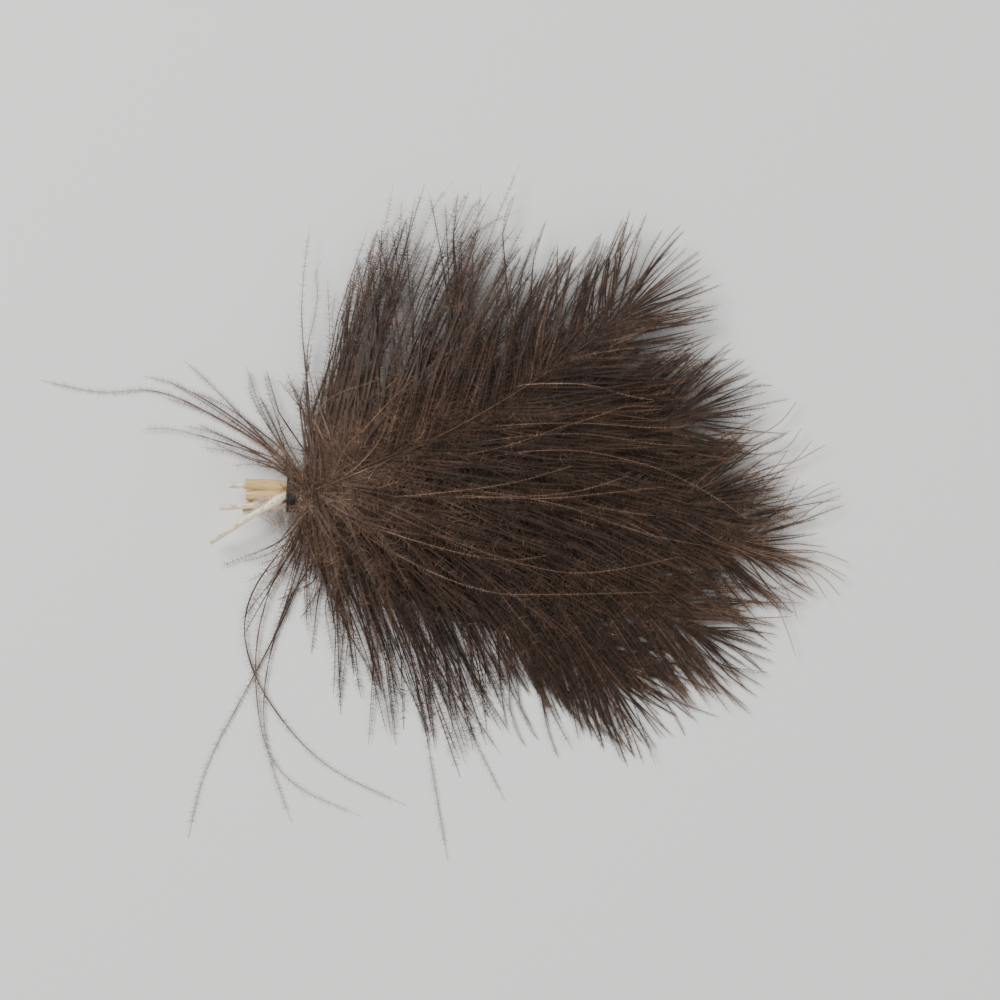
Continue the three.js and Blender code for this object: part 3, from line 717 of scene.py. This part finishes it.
def tip_paths(order, rng):
    """The last barbs of a vane, which close it past the shaft's tip in a fan that opens outwards: the
    further aside one points, the further back on the shaft it starts."""
    feather = FEATHERS[order]
    share = np.linspace(-1, 1, TIP_BARBS) + rng.uniform(-0.5, 0.5, TIP_BARBS) / TIP_BARBS
    u = 1.0 - TIP_START * np.abs(share) * rng.uniform(0.6, 1.2, TIP_BARBS)
    off = TIP_FAN * share[:, None] * (0.45 + 0.55 * MIDDLES) + rng.normal(0, 16, (TIP_BARBS, 1)) * MIDDLES
    reach = min(feather["left"]["length"][1], feather["right"]["length"][1])
    length = reach * (1.0 + 0.3 * np.abs(share) + 0.15 * rng.uniform(-1, 1, TIP_BARBS))
    heading = shaft_heading(feather, u)[:, None] + np.radians(off)
    return flow(shaft_plan(feather, u), heading, length)


def rim_paths(order):
    """The feather's share of the barbs that end along the heap's rim: each starts on the shaft that is
    nearest to a barb's length inside its end, and runs there in a bow that ends pointing outwards."""
    rng = np.random.default_rng(SEED + 70)
    rim = smooth_route(RIM, RIM_BARBS - 1)
    ends = rim + rng.normal(0, 0.8, rim.shape)
    away = away_from_centre(ends)
    ends += away * rng.uniform(*RIM_RAGGED, (RIM_BARBS, 1))
    wanted = ends - RIM_BARB_LENGTH * away * rng.uniform(0.8, 1.2, (RIM_BARBS, 1))
    share = np.linspace(0.08, 0.97, 60)
    shafts = np.stack([shaft_plan(feather, share) for feather in FEATHERS])
    gap = np.linalg.norm(shafts[None] - wanted[:, None, None], axis=3)
    nearest = gap.reshape(RIM_BARBS, -1).argmin(axis=1)
    mine = nearest // len(share) == order
    starts = shafts.reshape(-1, 2)[nearest]
    turn = rng.normal(0, 0.35, RIM_BARBS)
    aside = np.stack([-away[:, 1], away[:, 0]], axis=1)
    bend = ends - 0.45 * RIM_BARB_LENGTH * (away + turn[:, None] * aside)
    v = np.linspace(0, 1, BARB_STEPS + 1)[None, :, None]
    return bowed(starts[:, None], bend[:, None], ends[:, None], v)[mine]


def curled_paths(rng, count, x, y, aims, curl, lengths):
    """Short plan paths that start in a box, each at random there, with its own aim, curl and length."""
    starts = np.stack([rng.uniform(*x, count), rng.uniform(*y, count)], axis=1)
    aim = np.radians(rng.uniform(*aims, count))
    turn = np.radians(rng.normal(0, curl, (count, 1))) * MIDDLES
    return walk(starts, aim[:, None] + turn, rng.uniform(*lengths, count))


def collar_paths(rng):
    """Short fluff that starts right of the tie and curls over the thread to the left and to both sides."""
    plan = curled_paths(rng, **COLLAR)
    v = np.linspace(0, 1, BARB_STEPS + 1)
    high = TIE_HEIGHT + 1.35 + rng.uniform(0.1, 0.45, (COLLAR["count"], 1)) * smooth(v, 0.1, 0.5)
    fall = 1.1 * smooth(-plan[..., 0], 0.9, 3.2) + 1.0 * smooth(np.abs(plan[..., 1]), 1.6, 3.4)
    return np.concatenate([plan, (high - fall)[..., None]], axis=2)


def cuff_paths(rng):
    """Pale short down that lies on the lower quills left of the tie, swept to the left and downwards."""
    plan = curled_paths(rng, **CUFF)
    high = TIE_HEIGHT + 0.75 - 0.9 * smooth(-plan[..., 1], 1.0, 2.2)
    high = high + rng.uniform(-0.15, 0.15, (CUFF["count"], 1))
    return np.concatenate([plan, high[..., None]], axis=2)


def wisp_paths():
    """The wisps along their own chosen points, each sinking a little below the cuff."""
    plan = np.array([smooth_route(wisp, BARB_STEPS) for wisp in WISPS])
    high = TIE_HEIGHT + 0.2 - 0.9 * smooth(-plan[..., 1], 1.6, 3.6)
    return np.concatenate([plan, high[..., None]], axis=2)


def smooth_route(points, steps):
    """A smooth curve along plan points in even steps, by three rounds of corner cutting between its ends."""
    route = np.array(points, float)
    for _ in range(3):
        q = 0.75 * route[:-1] + 0.25 * route[1:]
        r = 0.25 * route[:-1] + 0.75 * route[1:]
        cut = np.stack([q, r], axis=1).reshape(-1, 2)
        route = np.concatenate([route[:1], cut[1:-1], route[-1:]])
    walked = walked_along(route)
    even = np.linspace(0, walked[-1], steps + 1)
    return points_at(route, walked, even)


def routed_paths(order, key):
    """Single barbs, each from its place on the shaft along its own chosen points."""
    feather = FEATHERS[order]
    rows = [smooth_route([tuple(shaft_plan(feather, share)), *route], STRAY_STEPS)
            for share, route in feather[key]]
    return np.array(rows)


def hidden_at(order, x, y):
    """How many of the feathers above one lie over a place: each counts near the tie, in its sector."""
    r = np.hypot(x, y)
    degrees = np.degrees(np.arctan2(y, x))
    over = np.zeros_like(r)
    for other in FEATHERS[order + 1:]:
        start, end = other["sector"]
        reach = np.hypot(*other["tip"])
        inside = smooth(degrees, start, start + SECTOR_SOFT) * (1 - smooth(degrees, end - SECTOR_SOFT, end))
        over += inside * (1 - smooth(r, 0.5 * reach, 0.8 * reach))
    return over


def lift(order, plan, rng, spread, deep):
    """Lays plan paths on their feather's middle surface, each raised or lowered within its layer. A deep
    one starts that many layers down, and by its middle it lies over the others."""
    x, y = plan[..., 0], plan[..., 1]
    r = np.hypot(x, y)
    v = np.linspace(0, 1, plan.shape[1])
    rise = rng.uniform(-1, 1, (len(plan), 1)) * smooth(v, 0.0, 0.3)
    rise = rise + 0.35 * rng.normal(0, 1, (len(plan), 1)) * smooth(v, 0.3, 1.0) ** 2
    sink = deep * (1 - COMES_UP_TO * smooth(v, 0.2, 0.5))
    z = surface_height(order, x, y) + layer_thickness(r) * (spread * rise - sink)
    return np.stack([x, y, np.clip(z, LOWEST_BARB, DOWN_TOP)], axis=-1)


def barbules(order, paths, rng, softness, size, closeness):
    """The barbules in pairs across their barb: even places along each barb, tips out to its two sides and
    swept on towards its end. A soft barb's are long and loose, and a stiff barb's short and in line."""
    length = np.linalg.norm(np.diff(paths, axis=1), axis=2).sum(axis=1)
    number = np.maximum(4, length * PAIRS_PER_MM * closeness * (1.2 - 0.35 * softness)).astype(int)
    owner = np.repeat(np.arange(len(paths)), number)
    first = np.repeat(np.cumsum(number) - number, number)
    v = (np.arange(len(owner)) - first + rng.uniform(0.2, 0.8, len(owner))) / number[owner]
    v = 0.01 + v * (0.985 - BARE_TIP)
    at = v * (paths.shape[1] - 1)
    ring = np.minimum(at.astype(int), paths.shape[1] - 2)
    part = (at - ring)[:, None]
    middle = paths[owner, ring] * (1 - part) + paths[owner, ring + 1] * part
    kept = KEPT_IN_SIGHT - LOST_PER_FEATHER * hidden_at(order, middle[:, 0], middle[:, 1])
    seen = rng.random(len(owner)) < np.maximum(kept, KEPT_UNDER)
    owner, v, ring, middle = owner[seen], v[seen], ring[seen], middle[seen]
    tangent, side, above = (f[owner, ring] for f in path_frames(paths))
    soft = softness[owner] * (1 - 0.6 * v)
    roll = rng.normal(0, 1, len(owner)) * (0.30 + 0.5 * soft)
    out = np.cos(roll)[:, None] * side + np.sin(roll)[:, None] * above
    up = np.cos(roll)[:, None] * above - np.sin(roll)[:, None] * side
    stiff_reach = STIFF_BARBULE[0] + (STIFF_BARBULE[1] - STIFF_BARBULE[0]) * v
    soft_reach = SOFT_BARBULE[0] + (SOFT_BARBULE[1] - SOFT_BARBULE[0]) * v
    reach = stiff_reach + (soft_reach - stiff_reach) * softness[owner]
    ends = []
    for sign in (1, -1):
        far = reach * size * (1 + 0.35 * rng.uniform(-1, 1, len(owner)))
        sweep = BARBULE_SWEEP + (0.16 + 0.25 * soft) * rng.normal(0, 1, len(owner))
        tip = middle + far[:, None] * (sign * out + sweep[:, None] * tangent)
        tip += (far * 0.3 * soft * rng.normal(0, 1, len(owner)))[:, None] * up
        tip[:, 2] = np.clip(tip[:, 2], LOWEST_BARBULE, DOWN_TOP + 0.1)
        ends.append(tip)
    return ends[1], ends[0], middle, tangent, up, owner, v


def felt(paths, rng, size):
    """The barbules that lie flat against their barb, as one thin closed strip along it with a ragged width:
    nothing at the root, widest at a third of the way, and nothing near the end."""
    v = np.linspace(0, 1, paths.shape[1])
    shape = smooth(v, 0.0, 0.2) * (1 - 0.88 * smooth(v, 0.35, 0.9))
    ragged = 1 + 0.4 * rng.uniform(-1, 1, paths.shape[:2])
    radii = 0.005 + FELT_HALF_WIDTH * size * shape * ragged
    lowered = paths - np.array([0.0, 0.0, 0.03])
    points, faces = tubes(lowered, radii, FELT_SIDES, None, FELT_FLATNESS)
    points[:, 2] = np.maximum(points[:, 2], LOWEST_FELT)
    return points, faces


def warmth(paths, rng):
    """How tan each barb is along itself: only its last part, and most at the heap's far rim."""
    v = np.linspace(0, 1, paths.shape[1])
    far_out = smooth(paths[:, -1, 0], 30, 44)[:, None]
    return smooth(v, 0.7, 1.0) * (0.10 + 0.45 * far_out) * rng.uniform(0.2, 1.0, (len(paths), 1))


def strands(order, plan, rng, size, spread=0.0, closeness=1.0, lighter=0.0, stout=1.0, tan=0.0, deep=0.0):
    """Barbs along paths, with their felt and barbules: points, faces, and each point's tone and warmth. A
    plan path is first laid in the heap, spread up and down within its layer. Size and closeness are those
    of the barbules, and lighter, stout, tan and deep are those of the barbs."""
    paths = lift(order, plan, rng, spread, deep) if plan.shape[2] == 2 else plan
    r = np.hypot(paths[:, 0, 0], paths[:, 0, 1])
    softness = 1 - 0.85 * smooth(r, 8, 34)
    v = np.linspace(0, 1, paths.shape[1])
    light = lighter + rng.normal(0, 0.07, len(paths))
    light += LIGHT_BARB_LIGHTER * (rng.random(len(paths)) > 1 - LIGHT_BARBS)
    radii = BARB_RADIUS_AT_ROOT + (BARB_RADIUS_AT_TIP - BARB_RADIUS_AT_ROOT) * v ** 0.9
    radii = stout * radii * (1 + 0.15 * rng.uniform(-1, 1, (len(paths), 1)))
    out = np.hypot(paths[:, -1, 0] - HEAP_MIDDLE_X, paths[:, -1, 1])[:, None]
    ends = END_LIGHTER * smooth(out, *STANDING_OUT) * smooth(v, 0.55, 1.0)
    tone = tone_at(paths[..., 0], paths[..., 1]) + light[:, None] + ends
    tanned = warmth(paths, rng)
    warm = np.maximum(tanned, tan * smooth(v, 0.3, 1.0) * rng.uniform(0.5, 1.0, (len(paths), 1)))
    barb_points, barb_faces = tubes(paths, radii, BARB_SIDES)
    kept = slice(None, None, FELT_STRIDE if paths.shape[1] == BARB_STEPS + 1 else 1)
    felt_points, felt_faces = felt(paths[:, kept], rng, size)
    left, right, middle, along, up, owner, at = barbules(order, paths, rng, softness, size, closeness)
    needle_points, needle_faces = forks(left, right, middle, along, up, BARBULE_RADIUS)
    ring = (at * (paths.shape[1] - 1)).astype(int)
    needle_tone = tone[owner, ring] + rng.normal(0, BARBULE_UNEVEN, len(owner))
    needle_warm = warm[owner, ring]
    points = np.concatenate([barb_points, felt_points, needle_points])
    # The felt is toned darker than its barbules: painted shade under the barbs.
    tones = np.concatenate([np.repeat((tone + BARB_LIGHTER).ravel(), BARB_SIDES),
                            np.repeat((tone[:, kept] - FELT_PAINTED_SHADE).ravel(), FELT_SIDES),
                            np.repeat(needle_tone, 5)])
    warms = np.concatenate([np.repeat(warm.ravel(), BARB_SIDES),
                            np.repeat(0.3 * warm[:, kept].ravel(), FELT_SIDES),
                            np.repeat(0.5 * needle_warm, 5)])
    faces = [*barb_faces, *(f + len(barb_points) for f in felt_faces),
             needle_faces + len(barb_points) + len(felt_points)]
    return points, faces, tones, warms


def down_piece(name, groups):
    """Groups of strands joined into one mesh."""
    points, face_sets, tones, warms = zip(*groups)
    first = np.cumsum([0] + [len(p) for p in points])
    sets = [f + start for start, faces in zip(first, face_sets) for f in faces]
    values = {"tone": np.concatenate(tones), "warm": np.concatenate(warms)}
    return make_mesh(name, np.concatenate(points), sets, DOWN, False, values)


def down_of(order):
    """The down of one feather in two pieces: the barbs of its vane, and the fluff at its foot with the
    single barbs that stand out."""
    feather = FEATHERS[order]
    rng = np.random.default_rng(SEED + order)
    vane = [
        strands(order, barb_paths(order, feather["left"], 1, rng), rng, spread=0.42, size=1.0),
        strands(order, barb_paths(order, feather["right"], -1, rng), rng, spread=0.42, size=1.0),
        strands(order, tip_paths(order, rng), rng, spread=0.3, size=0.9),
    ]
    rim = rim_paths(order)
    if len(rim):
        vane.append(strands(order, rim, rng, **RIM_BARB_LOOKS))
    fluff = [strands(order, rosette_paths(order, rng), rng, spread=0.5, size=1.1, closeness=0.65)]
    if feather["name"] == "feather_upper":
        fluff.append(strands(order, collar_paths(rng), rng, **COLLAR_LOOKS))
    if feather["name"] == "feather_lower":
        fluff.append(strands(order, cuff_paths(rng), rng, **CUFF_LOOKS))
        fluff.append(strands(order, wisp_paths(), rng, **WISP_LOOKS))
    for key, looks in ROUTED_LOOKS.items():
        if key in feather:
            fluff.append(strands(order, routed_paths(order, key), rng, **looks))
    return down_piece(feather["name"] + "_vane", vane), down_piece(feather["name"] + "_fluff", fluff)


def tone_at(x, y):
    """How light the down is at a place: lightest in the rosette round the tie, and a little at the rim."""
    r = np.hypot(x - 3.0, y)
    rim = smooth(np.hypot(x - HEAP_MIDDLE_X, y), *RIM_FADE)
    return LEAST_TONE + TONE_AT_TIE * np.exp(-((r / TONE_REACH) ** 2)) + TONE_AT_RIM * rim


def shaft_of(order):
    """The quill and shaft: a profile of rings carried along the centreline. It starts at the bottom of the
    bore, comes out along the bore's wall, turns over the cut end, and narrows along the shaft to its tip.
    At the tie the rings are ellipses, because the quills are pressed there."""
    feather = FEATHERS[order]
    x, y, z = feather["quill"]
    slot_y, slot_z = feather["slot"]
    tie_z = TIE_HEIGHT + slot_z
    back = np.linspace(1, 0, 9)[:-1]
    quill = np.stack([-STRAIGHT_HALF + (x + STRAIGHT_HALF) * back, slot_y + (y - slot_y) * back,
                      tie_z + (z - tie_z) * back ** QUILL_DROP], axis=1)
    t = np.linspace(0, 1, 61)
    plan = shaft_plan(feather, t)
    vane = np.concatenate([plan, surface_height(order, plan[:, 0], plan[:, 1])[:, None]], axis=1)
    start = np.array([[-STRAIGHT_HALF, slot_y, tie_z]])
    line = np.concatenate([quill, start, vane])
    walked = walked_along(line)
    quill_length = np.hypot(x, y)
    total = walked[-1]
    outer_at = np.concatenate([[0.0, 0.02, 0.06], np.linspace(0.15, quill_length, 14),
                               quill_length + (total - quill_length) * np.linspace(0.02, 1, 60)])
    round_over = np.where(outer_at < 0.05, EDGE_ROUND, 1.0)
    near = smooth(outer_at, 0, 0.9 * quill_length)
    far = np.clip((outer_at - quill_length) / (total - quill_length), 0, 1)
    outer_radius = feather["radius"] + (RADIUS_AT_TIE - feather["radius"]) * near
    narrowed = (RADIUS_AT_TIP - RADIUS_AT_TIE) * (1 - (1 - far) ** SHAFT_TAPER)
    outer_radius = (outer_radius + narrowed) * round_over
    inner_at = np.array([BORE_DEPTH, BORE_DEPTH, 0.9, 0.3, 0.0])
    inner_radius = BORE_SHARE * feather["radius"] * np.array([0.05, 0.8, 0.95, 1.0, 1.03])
    at = np.concatenate([inner_at, outer_at])
    radius = np.concatenate([inner_radius, outer_radius])
    centres = points_at(line, walked, at)
    tangent = unit(points_at(line, walked, at + 0.05) - points_at(line, walked, at - 0.05))
    side = unit(np.stack([-tangent[:, 1], tangent[:, 0], np.zeros(len(tangent))], axis=1))
    above = np.cross(tangent, side)
    to_tie = at - quill_length
    pressed = smooth(to_tie, *PRESSING_STARTS) * (1 - smooth(to_tie, *PRESSING_ENDS)) * (at >= outer_at[3])
    on_top = order == len(FEATHERS) - 1
    wider = 1 + (TOP_QUILL_PRESSED if on_top else QUILL_PRESSED) * pressed
    frames = tuple(f[None] for f in (tangent, side * wider[:, None], above))
    points, faces = tubes(centres[None], radius[None], SHAFT_SIDES, frames)
    along = np.repeat(at - quill_length, SHAFT_SIDES)
    around = np.tile(np.sin(np.arange(SHAFT_SIDES) * 2 * np.pi / SHAFT_SIDES), len(at))
    ochre = np.full(len(points), 1.0 if feather["radius"] > WIDE_QUILL else 0.15)
    values = {"along": along, "around": around, "ochre": ochre}
    return make_mesh(feather["name"] + "_shaft", points, faces, HORN, True, values)


def tie_winding():
    """The thread: one tube wound round the quills in an ellipse, across the band and back over itself."""
    turns = 13
    per_turn = 44
    sides = 8
    thread_radius = 0.085
    band_width = 1.15
    half_across = 1.50
    half_high = 1.18
    inner_layer = 0.10
    outer_layer = 0.11
    t = np.linspace(0, 1, turns * per_turn + 1)
    angle = 2 * np.pi * turns * t
    sweep = np.abs(((2.0 * t) % 2.0) - 1.0)
    layer = (t > 0.5) * 1.0
    x = (sweep - 0.5) * band_width
    rng = np.random.default_rng(SEED + 90)
    uneven = 0.03 * np.sin(angle * 0.37 + rng.random()) + 0.02 * np.sin(angle * 0.81)
    rise = inner_layer + outer_layer * smooth(t, 0.47, 0.53) * layer + uneven
    y = (half_across + rise) * np.cos(angle)
    z = TIE_HEIGHT + (half_high + rise) * np.sin(angle)
    path = np.stack([x + 0.02 * np.sin(angle * 1.7), y, z], axis=1)[None]
    tangent = unit(np.gradient(path, axis=1))
    side = np.tile(np.array([1.0, 0.0, 0.0]), (1, len(t), 1))
    side = unit(side - (side * tangent).sum(2, keepdims=True) * tangent)
    frames = (tangent, side, np.cross(tangent, side))
    points, faces = tubes(path, np.full((1, len(t)), thread_radius), sides, frames)
    along = np.repeat(angle, sides)
    around = np.tile(np.arange(sides) / sides * 2 * np.pi, len(t))
    values = {"along": along, "around": around}
    return make_mesh("tie_thread_winding", points, faces, THREAD, True, values)


DOWN = down_material()
HORN = quill_material()
THREAD = thread_material()

for number, feather in enumerate(FEATHERS):
    for piece in (*down_of(number), shaft_of(number)):
        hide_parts(feather["name"])
        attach(piece, "root")

winding = tie_winding()
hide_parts("tie_thread")
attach(winding, "root")


def pale_floor():
    """A level floor far wider than the view."""
    half = 1.5
    mesh = bpy.data.meshes.new("floor")
    corners = [(-half, -half, 0), (half, -half, 0), (half, half, 0), (-half, half, 0)]
    mesh.from_pydata(corners, [], [(0, 1, 2, 3)])
    paper = Finish("floor_paper", {"Roughness": 0.9, "Base Color": (0.74, 0.73, 0.71, 1)})
    mesh.materials.append(paper.material)
    floor = bpy.data.objects.new("floor", mesh)
    bpy.context.scene.collection.objects.link(floor)


def soft_light(name, place, size, power):
    """A square area light that looks at the bunch."""
    data = bpy.data.lights.new(name, "AREA")
    data.shape = "SQUARE"
    data.size = size
    data.energy = power
    light = bpy.data.objects.new(name, data)
    light.location = place
    light.rotation_mode = "QUATERNION"
    direction = -light.location
    light.rotation_quaternion = direction.to_track_quat("-Z", "Y")
    bpy.context.scene.collection.objects.link(light)


def studio():
    """Soft light from above on the left, a weak fill from the right, and a pale world."""
    world = bpy.data.worlds.new("studio")
    world.use_nodes = True
    sky = world.node_tree.nodes["Background"]
    sky.inputs["Color"].default_value = (0.95, 0.97, 1.0, 1)
    sky.inputs["Strength"].default_value = 0.45
    bpy.context.scene.world = world
    soft_light("key", (-0.35, 0.30, 0.55), 0.35, 7.0)
    soft_light("fill", (0.5, -0.4, 0.5), 0.6, 2.5)


def camera():
    """Straight down on the photograph's middle, from far off, with the photograph's width in view."""
    data = bpy.data.cameras.new("camera")
    data.sensor_width = 36.0
    data.lens = 180.0
    width = PHOTO_WIDTH * PIXEL * MM
    distance = width * data.lens / data.sensor_width
    place = bpy.data.objects.new("camera", data)
    x = (PHOTO_MIDDLE[0] - TIE_PIXEL[0]) * PIXEL + TIE_X
    y = (TIE_PIXEL[1] - PHOTO_MIDDLE[1]) * PIXEL + TIE_Y
    place.location = (x * MM, y * MM, TIE_HEIGHT * MM + distance)
    data.clip_start = 0.01
    bpy.context.scene.collection.objects.link(place)
    bpy.context.scene.camera = place


pale_floor()
studio()
camera()
